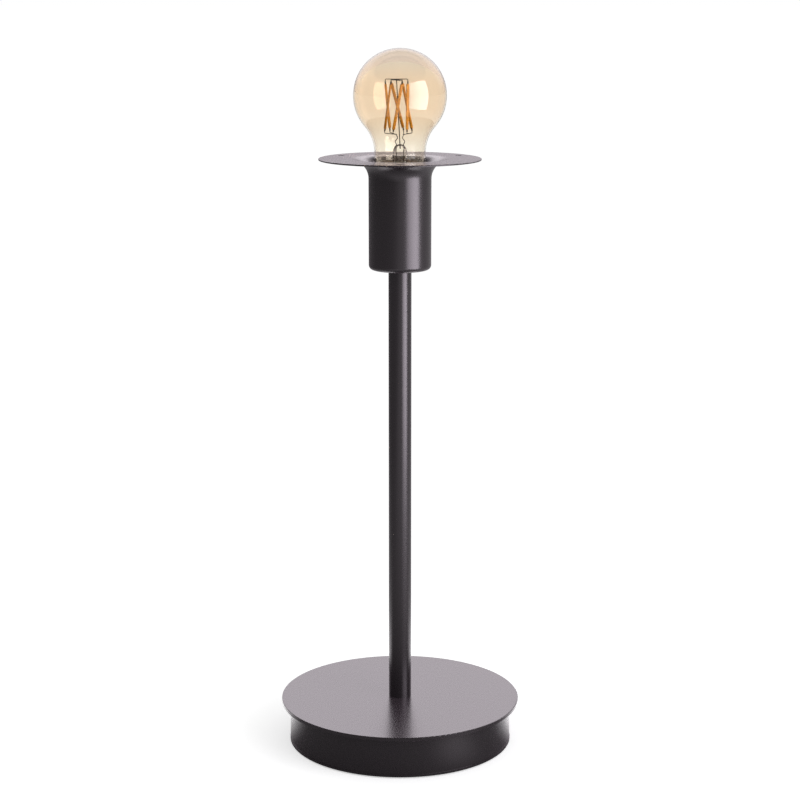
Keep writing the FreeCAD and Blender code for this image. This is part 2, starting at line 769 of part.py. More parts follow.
# ---------------------------------------------------------------- bulb: filament cage
def bar_ends(i):
    """Foot and head of one filament with its clips. Each bar leans round the axis by the twist."""
    turn = 360 * i / filament_count
    head = polar(cage_head_r, turn, clip_head_z) + V(cage_head_shift, 0, 0)
    foot = polar(cage_foot_r, turn - cage_twist, clip_foot_z) + V(cage_foot_shift, 0, 0)
    return foot, head


def led_filaments():
    bars = []
    for i in range(filament_count):
        foot, head = bar_ends(i)
        along = (head - foot).normalize()
        bar = rod(filament_r, foot + along * clip_length, head - along * clip_length)
        bars.append(bar.makeFillet(filament_r / 2, [bar.Edges[0], bar.Edges[2]]))
    return Part.makeCompound(bars)


def filament_clips():
    clips = []
    for i in range(filament_count):
        foot, head = bar_ends(i)
        reach = (head - foot).normalize() * clip_length
        clips.append(rod(clip_r, foot, foot + reach))
        clips.append(rod(clip_r, head - reach, head))
    return Part.makeCompound(clips)


def cage_top_wires():
    """Three wires across the cage's head, at three heights, all on one centre wire from the mount."""
    star = centre_wire(centre_wire_r, centre_wire_in)
    pairs = filament_count // 2
    for i in range(pairs):
        near = bar_ends(i)[1] + axis_up * weld_gap
        far = bar_ends(i + pairs)[1] + axis_up * weld_gap
        rise = axis_up * bridge_rises[i % len(bridge_rises)]
        star = star.fuse(swept_wire(mount_wire_r, [near, near + rise, far + rise, far],
                                    [0, wire_bend, wire_bend, 0]))
    return star


def lead_comb(side, bars):
    """One lead wire from the board through the press, kinked above it, with an arm to each clip."""
    x = side * mount_wire_x
    hub = V(x, 0, press_top_z + hub_lift)
    low, middle, high = [V(x, 0, press_top_z + hub_lift * share) for share in kink_heights]
    aside = V(side * kink, 0, 0)
    points = [V(x, 0, board_top_z), low, middle + aside, high - aside, hub]
    comb = swept_wire(mount_wire_r, points, [0, wire_bend, wire_bend, wire_bend, 0])
    comb = comb.fuse(Part.makeSphere(hub_bead_r, hub))
    for i in bars:
        foot = bar_ends(i)[0] - axis_up * weld_gap
        comb = comb.fuse(swept_wire(mount_wire_r, [hub, foot - axis_up * knee_drop, foot],
                                    [0, wire_bend, 0]))
    return comb


def cage_lead_wires():
    half = filament_count // 2
    return Part.makeCompound([lead_comb(1, range(half)), lead_comb(-1, range(half, filament_count))])


# ---------------------------------------------------------------- all pieces, one file each
pieces = {
    "foot_ring": foot_ring(),
    "bottom_plate": bottom_plate(),
    "plate_screws": plate_screws(),
    "base_weight": base_weight(),
    "base_drum": base_drum(),
    "base_disc": base_disc(),
    "base_washer": base_washer(),
    "base_nut": hex_nut(base_nut_z),
    "cord_grommet": cord_grommet(),
    "terminal_block": terminal_block(),
    "terminal_tubes": terminal_tubes(),
    "terminal_screws": terminal_screws(),
    "block_screw": block_screw(),
    "stem_tube": stem_tube(),
    "lower_plug": stem_plug(base_z),
    "upper_plug": stem_plug(cup_z - plug_length),
    "lower_nipple": lower_nipple(),
    "upper_nipple": upper_nipple(),
    "live_lead": inner_lead(1),
    "neutral_lead": inner_lead(-1),
    "socket_cup": socket_cup(),
    "cup_washer": cup_washer(),
    "cup_nut": hex_nut(cup_z + cup_sheet + washer_t),
    "holder_cap": holder_cap(),
    "holder_grub_screw": holder_grub_screw(),
    "holder_carrier": holder_carrier(),
    "holder_posts": holder_posts(),
    "holder_post_screws": holder_post_screws(),
    "holder_tongue": holder_tongue(),
    "holder_shell": holder_shell(),
    "holder_skirt": holder_skirt(),
    "bulb_tip": bulb_tip(),
    "bulb_insulator": bulb_insulator(),
    "bulb_cap": bulb_cap(),
    "driver_board": driver_board(),
    "driver_parts": driver_parts(),
    "cap_wires": cap_wires(),
    "bulb_glass": bulb_glass(),
    "bulb_mount": bulb_mount(),
    "led_filaments": led_filaments(),
    "filament_clips": filament_clips(),
    "cage_top_wires": cage_top_wires(),
    "cage_lead_wires": cage_lead_wires(),
}

os.makedirs("parts", exist_ok=True)
for name, shape in pieces.items():
    shape.exportStep(f"parts/{name}.step")
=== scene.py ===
import json
from math import cos, pi, radians, sin

import bmesh
import bpy
import numpy as np
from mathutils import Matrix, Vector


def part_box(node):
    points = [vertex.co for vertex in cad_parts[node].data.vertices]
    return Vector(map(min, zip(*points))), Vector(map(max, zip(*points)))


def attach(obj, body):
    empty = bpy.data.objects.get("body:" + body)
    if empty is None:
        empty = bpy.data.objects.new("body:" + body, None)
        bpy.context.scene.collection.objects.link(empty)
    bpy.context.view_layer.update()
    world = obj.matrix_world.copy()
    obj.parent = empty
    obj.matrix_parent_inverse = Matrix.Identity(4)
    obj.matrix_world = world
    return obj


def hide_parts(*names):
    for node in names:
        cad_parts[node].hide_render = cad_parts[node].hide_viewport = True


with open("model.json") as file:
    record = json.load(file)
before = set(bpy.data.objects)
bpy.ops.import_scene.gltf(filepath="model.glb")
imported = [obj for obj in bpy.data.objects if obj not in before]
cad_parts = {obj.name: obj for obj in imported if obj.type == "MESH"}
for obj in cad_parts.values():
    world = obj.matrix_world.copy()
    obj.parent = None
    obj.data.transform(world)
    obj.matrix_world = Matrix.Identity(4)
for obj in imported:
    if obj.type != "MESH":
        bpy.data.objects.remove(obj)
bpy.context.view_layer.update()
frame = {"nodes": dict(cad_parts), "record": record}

mm = 0.001
nodes = frame["nodes"]


def hexColour(text):
    # sRGB hex to linear light
    srgb = np.array([int(text[i:i + 2], 16) for i in (1, 3, 5)]) / 255
    linear = np.where(srgb <= 0.04045, srgb / 12.92, ((srgb + 0.055) / 1.055) ** 2.4)
    return (*linear.tolist(), 1.0)


def addNode(tree, kind, settings=(), links=()):
    # one node: settings in lower case are its properties and the others its sockets,
    # and links name the sockets that other nodes feed
    node = tree.nodes.new(kind)
    for key, value in dict(settings).items():
        if isinstance(key, str) and key[0].islower():
            setattr(node, key, value)
        else:
            node.inputs[key].default_value = value
    for key, source in dict(links).items():
        tree.links.new(source, node.inputs[key])
    return node


def span(ends):
    # the range that a Map Range node reads
    return {"From Min": ends[0], "From Max": ends[1]}


# camera, fitted to the photograph's ellipses in its 800 x 800 frame; places in metres, angles in degrees
view = {"place": (0, -1.28886, 0.50526), "pitch": 78.138, "lens": 89.96, "sensor": 36}


def makeCamera():
    lens = bpy.data.cameras.new("camera")
    lens.lens = view["lens"]
    lens.sensor_width = view["sensor"]
    camera = bpy.data.objects.new("camera", lens)
    camera.location = view["place"]
    camera.rotation_euler = (radians(view["pitch"]), 0, 0)
    bpy.context.scene.collection.objects.link(camera)
    bpy.context.scene.camera = camera


makeCamera()
bpy.context.scene.view_settings.view_transform = "Standard"
print("camera placed")

# studio: pale floor, white surroundings and one tall softbox at the right front, in metres and radiances
studio = {
    "floorRadius": 40.0,
    "floorSides": 64,
    "floorColour": "#f4f4f4",
    "floorGlow": 0.53,                 # added for the camera and through glass, so that the floor ends white
    "floorNear": 0.1,                  # from the lamp's middle
    "floorBefore": (0.24, 1.05, 0.7),  # painted shade before the lamp, seen only in satin reflections: by the lamp, away from it, and how far away
    # painted light behind the lamp, seen only in satin reflections: by the lamp, away from it, and how far
    # away
    "floorBehind": (5.0, 0.85, 0.3),
    "floorStep": (-0.02, 0.05),        # run from before the lamp to behind it
    "floorLeft": 0.35,                 # share of that painted light and shade far to the left
    "floorLeftRun": (-0.7, -0.25),
    "paintedPoolCentre": (0.078, -0.09, 0),   # centre of a painted pool of softbox light on the floor
    "paintedPoolReach": 0.05,
    "paintedPoolShine": 0.75,
    "airLight": 0.55,                  # what the surroundings give to matt surfaces
    "frontShine": 0.16,                # the room before the lamp in reflections
    "wallShine": (0.3, 4.4),           # the white wall behind it, at its foot and at its lit top
    "wallRise": (0.1, 0.6),            # sines of the heights at which the wall brightens
    "ceilingShine": 0.1,
    "ceilingRise": (0.47, 0.68),
    "wallTurn": (0.3, 0.85),           # from the dim room round to the wall
    "glassShine": 0.8,                 # the most that clean glass mirrors of the room
    "shineColour": "#fffaff",
    "boxTurn": 49.0,                   # degrees to the right of the camera, seen from the lamp
    "boxDistance": 0.80,
    "boxSize": (0.72, 0.98),
    "boxHeight": 0.47,
    "boxShine": 4.7,                   # in reflections
    "boxColour": (0.97, 0.96, 1.0),
    "boxInGlass": (0.38, 0.58, 0.88),  # its colour in clean glass
    "boxFade": (0.5, 1.15),            # shares of its light on the camera's side and away from it
    "boxFadeRun": (0.0, 0.6),          # over this part of its width
    "boxFill": 2.2,                    # on matt surfaces
}


def makeFloor():
    # a disc that is brighter behind the lamp than before it where the satin coat mirrors it: painted light
    # behind, painted shade before and far to the left, and a painted pool of softbox light
    turn = np.linspace(0, 2 * pi, studio["floorSides"], endpoint=False)
    rim = np.stack([np.cos(turn), np.sin(turn), 0 * turn], 1) * studio["floorRadius"]
    mesh = bpy.data.meshes.new("floor")
    mesh.from_pydata(rim.tolist(), [], [list(range(len(turn)))])
    floor = bpy.data.objects.new("floor", mesh)
    bpy.context.scene.collection.objects.link(floor)
    paper = bpy.data.materials.new("whitePaper")
    paper.use_nodes = True
    tree = paper.node_tree
    tree.nodes.clear()
    ray = addNode(tree, "ShaderNodeLightPath")
    seen = addNode(tree, "ShaderNodeMath", {"operation": "MAXIMUM"},
                   {0: ray.outputs["Is Camera Ray"], 1: ray.outputs["Is Transmission Ray"]})
    glow = addNode(tree, "ShaderNodeMath", {"operation": "MULTIPLY", 1: studio["floorGlow"]},
                   {0: seen.outputs[0]})
    place = addNode(tree, "ShaderNodeTexCoord").outputs["Object"]
    part = addNode(tree, "ShaderNodeSeparateXYZ", {}, {0: place}).outputs
    far = addNode(tree, "ShaderNodeVectorMath", {"operation": "LENGTH"}, {0: place}).outputs["Value"]
    before, behind = [addNode(tree, "ShaderNodeMapRange",
                              {**span((studio["floorNear"], reach)), "To Min": by, "To Max": away},
                              {"Value": far}).outputs[0]
                      for by, away, reach in (studio["floorBefore"], studio["floorBehind"])]
    along = addNode(tree, "ShaderNodeMapRange",
                    {"interpolation_type": "SMOOTHSTEP", **span(studio["floorStep"])},
                    {"Value": part["Y"], "To Min": before, "To Max": behind})
    across = addNode(tree, "ShaderNodeMapRange",
                     {**span(studio["floorLeftRun"]), "To Min": studio["floorLeft"]}, {"Value": part["X"]})
    aside = addNode(tree, "ShaderNodeVectorMath",
                    # a painted pool of softbox light, seen only in satin reflections
                    {"operation": "DISTANCE", 1: studio["paintedPoolCentre"]}, {0: place})
    patch = addNode(tree, "ShaderNodeMapRange",
                    {"interpolation_type": "SMOOTHSTEP", "From Max": studio["paintedPoolReach"],
                     "To Min": studio["paintedPoolShine"], "To Max": 0.0}, {"Value": aside.outputs["Value"]})
    # the floor's colour in satin reflections: painted shade before the lamp and far to the left, painted
    # light behind it, and the painted pool
    shade = addNode(tree, "ShaderNodeMath", {"operation": "MULTIPLY_ADD"},
                    {0: along.outputs[0], 1: across.outputs[0], 2: patch.outputs[0]})
    satin = addNode(tree, "ShaderNodeMath", {"operation": "GREATER_THAN"},
                    {0: ray.outputs["Is Glossy Ray"], 1: ray.outputs["Is Singular Ray"]})
    paintedLightAndShade = addNode(tree, "ShaderNodeMix", {"data_type": "FLOAT", "A": 1.0},
                     {"Factor": satin.outputs[0], "B": shade.outputs[0]})
    colour = addNode(tree, "ShaderNodeVectorMath",
                     {"operation": "SCALE", 0: hexColour(studio["floorColour"])[:3]},
                     {"Scale": paintedLightAndShade.outputs[0]})
    matt = addNode(tree, "ShaderNodeBsdfDiffuse", {}, {"Color": colour.outputs[0]})
    light = addNode(tree, "ShaderNodeEmission", {}, {"Strength": glow.outputs[0]})
    both = addNode(tree, "ShaderNodeAddShader", {}, {0: matt.outputs[0], 1: light.outputs[0]})
    under = addNode(tree, "ShaderNodeNewGeometry").outputs["Backfacing"]  # clear when seen from below
    clear = addNode(tree, "ShaderNodeBsdfTransparent")
    sheet = addNode(tree, "ShaderNodeMixShader", {}, {0: under, 1: both.outputs[0], 2: clear.outputs[0]})
    addNode(tree, "ShaderNodeOutputMaterial", {}, {"Surface": sheet.outputs[0]})
    mesh.materials.append(paper)


def makeSurroundings():
    # white to the eye and through glass; in reflections white behind the lamp and dim before it
    world = bpy.data.worlds.new("surroundings")
    bpy.context.scene.world = world
    world.cycles.sampling_method = "NONE"  # so that each ray gets the strength of its own kind
    world.use_nodes = True
    tree = world.node_tree
    tree.nodes.clear()
    ray = addNode(tree, "ShaderNodeLightPath")
    place = addNode(tree, "ShaderNodeTexCoord")
    along = addNode(tree, "ShaderNodeSeparateXYZ", {}, {0: place.outputs["Generated"]})
    wall = addNode(tree, "ShaderNodeMapRange",
                   {**span(studio["wallRise"]), "To Min": studio["wallShine"][0],
                    "To Max": studio["wallShine"][1]}, {"Value": along.outputs["Z"]})
    top = addNode(tree, "ShaderNodeMapRange",
                  {"interpolation_type": "SMOOTHSTEP", **span(studio["ceilingRise"]),
                   "To Max": studio["ceilingShine"]},
                  {"Value": along.outputs["Z"], "To Min": wall.outputs[0]})
    shine = addNode(tree, "ShaderNodeMapRange",
                    {"interpolation_type": "SMOOTHSTEP", **span(studio["wallTurn"]),
                     "To Min": studio["frontShine"]},
                    {"Value": along.outputs["Y"], "To Max": top.outputs[0]})
    calm = addNode(tree, "ShaderNodeMath", {"operation": "MINIMUM", 1: studio["glassShine"]},
                   {0: shine.outputs["Result"]})
    either = addNode(tree, "ShaderNodeMix", {"data_type": "FLOAT"},
                     {"Factor": ray.outputs["Is Singular Ray"], "A": shine.outputs["Result"],
                      "B": calm.outputs[0]})
    seen = addNode(tree, "ShaderNodeMath", {"operation": "MAXIMUM"},
                   {0: ray.outputs["Is Camera Ray"], 1: ray.outputs["Is Transmission Ray"]})
    mirrored = addNode(tree, "ShaderNodeMix", {"data_type": "FLOAT", "A": studio["airLight"]},
                       {"Factor": ray.outputs["Is Glossy Ray"], "B": either.outputs["Result"]})
    strength = addNode(tree, "ShaderNodeMix", {"data_type": "FLOAT", "B": 1.0},
                       {"Factor": seen.outputs[0], "A": mirrored.outputs["Result"]})
    colour = addNode(tree, "ShaderNodeMix",
                     {"data_type": "RGBA", "A": (1, 1, 1, 1), "B": hexColour(studio["shineColour"])},
                     {"Factor": ray.outputs["Is Glossy Ray"]})
    back = addNode(tree, "ShaderNodeBackground", {},
                   {"Color": colour.outputs[2], "Strength": strength.outputs["Result"]})
    addNode(tree, "ShaderNodeOutputWorld", {}, {"Surface": back.outputs[0]})


def makeSoftbox(name, radiance, shown, hidden):
    # one box as two lamps, so that its mirror image and its light on matt surfaces are set apart
    width, height = studio["boxSize"]
    turn = radians(studio["boxTurn"])
    light = bpy.data.lights.new(name, "AREA")
    light.shape = "RECTANGLE"
    light.size = width
    light.size_y = height
    light.energy = radiance * width * height * pi
    light.use_nodes = True
    tree = light.node_tree
    tree.nodes.clear()
    ray = addNode(tree, "ShaderNodeLightPath")
    colour = addNode(tree, "ShaderNodeMix",
                     {"data_type": "RGBA", "A": (*studio["boxColour"], 1.0),
                      "B": (*studio["boxInGlass"], 1.0)},
                     {"Factor": ray.outputs["Is Singular Ray"]})
    place = addNode(tree, "ShaderNodeNewGeometry").outputs["Parametric"]
    across = addNode(tree, "ShaderNodeSeparateXYZ", {}, {0: place})
    fall = addNode(tree, "ShaderNodeMapRange",
                   {**span(studio["boxFadeRun"]), "To Min": studio["boxFade"][0],
                    "To Max": studio["boxFade"][1]}, {"Value": across.outputs["X"]})
    glow = addNode(tree, "ShaderNodeEmission", {}, {"Color": colour.outputs[2], "Strength": fall.outputs[0]})
    addNode(tree, "ShaderNodeOutputLight", {}, {"Surface": glow.outputs[0]})
    box = bpy.data.objects.new(name, light)
    out = studio["boxDistance"]
    box.location = (out * sin(turn), -out * cos(turn), studio["boxHeight"])
    box.rotation_euler = (radians(90), 0, turn)
    bpy.context.scene.collection.objects.link(box)
    box.visible_camera = False
    box.visible_transmission = shown == "glossy"
    setattr(box, "visible_" + hidden, False)


makeFloor()
makeSurroundings()
makeSoftbox("softboxShine", studio["boxShine"], "glossy", "diffuse")
makeSoftbox("softboxFill", studio["boxFill"], "diffuse", "glossy")
print("studio ready")


def newMaterial(name):
    material = bpy.data.materials.new(name)
    material.use_nodes = True
    material.node_tree.nodes.clear()
    return material, material.node_tree


def grain(tree, place, size, detail, stretch, kind="ShaderNodeTexNoise"):
    # a pattern whose patches are about size mm across, read from the object's own metres
    spread = addNode(tree, "ShaderNodeMapping", {"Scale": stretch}, {"Vector": place})
    settings = {"Scale": 1 / (size * mm)}
    if kind == "ShaderNodeTexNoise":
        settings["Detail"] = detail
    return addNode(tree, kind, settings, {"Vector": spread.outputs[0]}).outputs[0]


worked = {
    "patchDetail": 3.0,
    "grainDetail": 2.0,
    "noiseSpan": (0.3, 0.7),              # where most of a noise lies
    "sheenRoughness": 0.4,
    "scatter": (0.001, 0.0008, 0.0006),   # how deep red, green and blue run in a milky plastic, in metres
}


def surface(name, values):
    # one worked surface: two colours in slow patches, a roughness that wanders, and a fine relief
    material, tree = newMaterial(name)
    place = addNode(tree, "ShaderNodeTexCoord").outputs["Object"]
    stretch = values.get("stretch", (1, 1, 1))
    patches = grain(tree, place, values["patch"], worked["patchDetail"], stretch)
    fine = grain(tree, place, values["grain"], worked["grainDetail"], stretch,
                 values.get("pattern", "ShaderNodeTexNoise"))
    colour = addNode(tree, "ShaderNodeMix",
                     {"data_type": "RGBA", "A": hexColour(values["colours"][0]),
                      "B": hexColour(values["colours"][1])}, {"Factor": patches})
    rough = addNode(tree, "ShaderNodeMapRange",
                    {**span(worked["noiseSpan"]), "To Min": values["roughness"][0],
                     "To Max": values["roughness"][1]}, {"Value": fine})
    relief = addNode(tree, "ShaderNodeBump",
                     {"Strength": 1.0, "Distance": values["relief"] * mm}, {"Height": fine})
    settings = {"Metallic": values.get("metal", 0.0)}
    if not values.get("metal"):
        settings["IOR"] = values.get("ior", 1.5)
    if "sheen" in values:
        settings["Sheen Weight"] = values["sheen"]
        settings["Sheen Roughness"] = worked["sheenRoughness"]
        settings["Sheen Tint"] = hexColour(values["sheenColour"])
    if "shineColour" in values:
        settings["Specular Tint"] = hexColour(values["shineColour"])
    if "under" in values:
        settings["Subsurface Weight"] = values["under"]
        settings["Subsurface Radius"] = worked["scatter"]
        settings["Subsurface Scale"] = 1.0
    shader = addNode(tree, "ShaderNodeBsdfPrincipled", settings,
                     {"Base Color": colour.outputs[2], "Roughness": rough.outputs[0],
                      "Normal": relief.outputs[0]})
    addNode(tree, "ShaderNodeOutputMaterial", {}, {"Surface": shader.outputs[0]})
    return material


# patch and grain are the sizes of slow colour patches and of the fine pattern, relief its height, all in mm
finishes = {
    # satin polyester powder coat: almost black, faintly warm, with a soft orange-peel skin
    "powder_coat": {"colours": ("#1f1b1e", "#242022"), "patch": 30, "grain": 0.9,
                    "roughness": (0.26, 0.285), "relief": 0.0002, "ior": 1.68,
                    "sheen": 0.12, "sheenColour": "#ffdcf6", "shineColour": "#fff4fc"},
    # bright zinc plate on turned steel: a cool grey shine with fine rings
    "zinc_steel": {"colours": ("#a9abad", "#c3c3bf"), "patch": 6, "grain": 0.35,
                   "roughness": (0.28, 0.42), "relief": 0.004, "metal": 1.0, "stretch": (1, 1, 6)},
    # grey iron as cast: dark, sandy and hardly shiny
    "cast_iron": {"colours": ("#2c2c2e", "#3b3937"), "patch": 9, "grain": 0.8,
                  "roughness": (0.6, 0.8), "relief": 0.12, "metal": 0.6},
    # closed-cell foam rubber: dead matt, with small cells
    "black_foam": {"colours": ("#121212", "#1c1c1b"), "patch": 4, "grain": 0.5,
                   "roughness": (0.85, 0.97), "relief": 0.06, "pattern": "ShaderNodeTexVoronoi"},
    # moulded soft rubber: a dim and even sheen
    "black_rubber": {"colours": ("#131314", "#1b1b1c"), "patch": 7, "grain": 0.3,
                     "roughness": (0.5, 0.62), "relief": 0.008, "ior": 1.52},
    # white polyamide: milky, so that a little light sinks in
    "white_plastic": {"colours": ("#e6e3d8", "#dedacd"), "patch": 5, "grain": 0.4,
                      "roughness": (0.38, 0.48), "relief": 0.004, "ior": 1.53, "under": 0.15},
    # black phenolic moulding: a soft gloss with faint flow marks
    "black_plastic": {"colours": ("#181717", "#201f1e"), "patch": 8, "grain": 0.5,
                      "roughness": (0.34, 0.45), "relief": 0.004, "ior": 1.6},
    # soft vinyl pulled smooth through a die: an even, slightly waxy gloss
    "brown_insulation": {"colours": ("#54341f", "#5f3d26"), "patch": 12, "grain": 0.5,
                         "roughness": (0.35, 0.45), "relief": 0.004, "ior": 1.45},
    "blue_insulation": {"colours": ("#24508f", "#2b5a9c"), "patch": 12, "grain": 0.5,
                        "roughness": (0.35, 0.45), "relief": 0.004, "ior": 1.45},
    # drawn and turned brass: yellow, a little tarnished in patches
    "brass": {"colours": ("#c9a257", "#b08a45"), "patch": 5, "grain": 0.3,
              "roughness": (0.25, 0.38), "relief": 0.003, "metal": 1.0},
    # thin nickel plate on drawn sheet: a warm, slightly blurred mirror with upright draw lines
    "nickel": {"colours": ("#cbc6bb", "#b9b3a6"), "patch": 6, "grain": 0.25,
               "roughness": (0.2, 0.3), "relief": 0.002, "metal": 1.0, "stretch": (1, 1, 0.2)},
    # soft solder: dull grey, frozen in ripples
    "solder": {"colours": ("#b2b2b0", "#9c9c9b"), "patch": 3, "grain": 1.1,
               "roughness": (0.35, 0.55), "relief": 0.09, "metal": 1.0},
    # black moulded glass: deep black under a clear mirror
    "black_glass": {"colours": ("#060608", "#0c0b0d"), "patch": 4, "grain": 0.6,
                    "roughness": (0.08, 0.16), "relief": 0.01, "ior": 1.55},
    # glass-fibre board: pale straw with a fine mottle
    "board_laminate": {"colours": ("#c9c5a8", "#d8d5be"), "patch": 0.5, "grain": 0.4,
                       "roughness": (0.4, 0.55), "relief": 0.01, "ior": 1.55},
    # black epoxy mouldings of the small electronic parts: blue-black with a dull gloss
    "driver_case": {"colours": ("#131318", "#1d1c22"), "patch": 3, "grain": 0.3,
                    "roughness": (0.3, 0.42), "relief": 0.004, "ior": 1.52},
    # nickel-iron wire: browned when it was sealed in, with thin glints
    "cage_wire": {"colours": ("#231e17", "#3a3227"), "patch": 2, "grain": 0.2,
                  "roughness": (0.3, 0.45), "relief": 0.003, "metal": 1.0},
    # amber phosphor in silicone: matt orange-yellow, and a little light sinks in
    "phosphor_silicone": {"colours": ("#cc9120", "#b07818"), "patch": 2.5, "grain": 0.35,
                          "roughness": (0.5, 0.62), "relief": 0.02, "ior": 1.41, "under": 0.2},
}

glasses = {
    # clear soda glass with an amber coat that thins out down the neck, and a painted reflection that greys it
    # a little at the crown
    "amber_glass": {"bare": "#fcf7ec", "coat": "#f6e8d4", "crown": "#f4ecdf", "coatFrom": 395, "coatTo": 425,
                    "crownFrom": 440, "crownTo": 461, "roughness": 0.0, "ior": 1.5},
    # clear glass of the mount: colourless at any height
    "clear_glass": {"bare": "#fdfcfa", "coat": "#fdfcfa", "crown": "#fdfcfa", "coatFrom": 374, "coatTo": 390,
                    "crownFrom": 390, "crownTo": 402, "roughness": 0.0, "ior": 1.5},
}


def glass(name, values):
    # clear glass that bends what is behind it, tinted by a coat that grows with height and greyed at the top
    # by a painted reflection;
    # lamps shine through it as through a plain tinted sheet
    material, tree = newMaterial(name)
    place = addNode(tree, "ShaderNodeTexCoord").outputs["Object"]
    height = addNode(tree, "ShaderNodeSeparateXYZ", {}, {0: place}).outputs["Z"]
    coat, crown = [addNode(tree, "ShaderNodeMapRange",
                           {"From Min": values[part + "From"] * mm, "From Max": values[part + "To"] * mm,
                            "interpolation_type": "SMOOTHSTEP"}, {"Value": height}).outputs[0]
                   for part in ("coat", "crown")]
    sides = addNode(tree, "ShaderNodeMix",
                    {"data_type": "RGBA", "A": hexColour(values["bare"]), "B": hexColour(values["coat"])},
                    {"Factor": coat})
    # the crown's colour is a painted reflection that greys the glass at its top
    tint = addNode(tree, "ShaderNodeMix", {"data_type": "RGBA", "B": hexColour(values["crown"])},
                   {"Factor": crown, "A": sides.outputs[2]})
    body = addNode(tree, "ShaderNodeBsdfPrincipled",
                   {"Roughness": values["roughness"], "IOR": values["ior"], "Transmission Weight": 1.0},
                   {"Base Color": tint.outputs[2]})
    half = addNode(tree, "ShaderNodeGamma", {"Gamma": 0.5}, {"Color": tint.outputs[2]})
    through = addNode(tree, "ShaderNodeBsdfTransparent", {}, {"Color": half.outputs[0]})
    ray = addNode(tree, "ShaderNodeLightPath")
    either = addNode(tree, "ShaderNodeMixShader", {},
                     {0: ray.outputs["Is Shadow Ray"], 1: body.outputs[0], 2: through.outputs[0]})
    addNode(tree, "ShaderNodeOutputMaterial", {}, {"Surface": either.outputs[0]})
    return material


materials = {name: surface(name, values) for name, values in finishes.items()}
materials.update({name: glass(name, values) for name, values in glasses.items()})
slotOfNode = {row["node"]: row["material_slot"] for row in frame["record"]["subparts"]}
for name, node in nodes.items():
    node.data.materials.clear()
    node.data.materials.append(materials[slotOfNode[name]])
print("finishes on", len(nodes), "nodes")


def polarGrid(angles, radii, heights):
    # rings of points: (r cos a, r sin a, z), one ring for each row of radii and heights
    return np.stack([radii * np.cos(angles), radii * np.sin(angles), heights + 0 * angles], -1)


def gridFaces(rows, columns, closeRows):
    # quads between neighbours in a grid that is numbered row by row, with each row closed on itself
    row = np.arange(rows if closeRows else rows - 1)[:, None]
    column = np.arange(columns)[None, :]
    nextRow = (row + 1) % rows
    nextColumn = (column + 1) % columns
    corners = [row * columns + column, row * columns + nextColumn,
               nextRow * columns + nextColumn, nextRow * columns + column]
    return np.stack(corners, -1).reshape(-1, 4)


def endCaps(count, sides):
    # the first and the last ring of a grid, each as one face
    return [list(range(sides)), list(range(count - sides, count))]


def makePiece(name, points, faces, slot, node, body, uv=None):
    # a mesh with its faces turned outwards, smooth, riding on a body in place of a CAD node
    mesh = bpy.data.meshes.new(name)
    mesh.from_pydata(points.reshape(-1, 3).tolist(), [], faces)
    if uv is not None:
        corners = np.empty(len(mesh.loops), dtype=np.int32)
        mesh.loops.foreach_get("vertex_index", corners)
        layer = mesh.uv_layers.new(name="along")
        layer.data.foreach_set("uv", uv.reshape(-1, 2)[corners].astype(np.float32).ravel())
    work = bmesh.new()
    work.from_mesh(mesh)
    bmesh.ops.recalc_face_normals(work, faces=work.faces)
    work.to_mesh(mesh)
    work.free()
    mesh.shade_smooth()
    mesh.materials.append(materials[slot])
    piece = bpy.data.objects.new(name, mesh)
    bpy.context.scene.collection.objects.link(piece)
    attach(piece, body)
    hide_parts(node)


# filament bars: flat strips under a coat of silicone, each with its own slight twist; in mm and degrees
bars = {
    "count": 6,
    "lift": 9.45,            # clips above the glass mount
    "rise": 31.0,            # height of a bar with its clips
    "clip": 1.6,
    "clipCover": 0.3,        # how far the coat runs over the clip
    "footRadius": 8.9,
    "headRadius": 7.2,
    "lean": 52.0,            # degrees round the axis from head to foot
    "footShift": -1.0,
    "headShift": -2.2,
    "width": 2.0,
    "thickness": 1.15,
    "squareness": 2.6,       # power of the oval section: 2 is an ellipse
    "twist": 34.0,           # most from foot to head, as soft strips get when they are welded in
    "turnSpread": 0.5,       # most that a whole bar is turned, in radians
    "seed": 7,
    "chipPitch": 0.85,       # light chips under the coat
    "chipSwell": 0.035,
    "endRound": 0.55,
    "endOpen": 0.02,         # where the round end starts, as a share of endRound
    "rings": 121,
    "sides": 20,
}


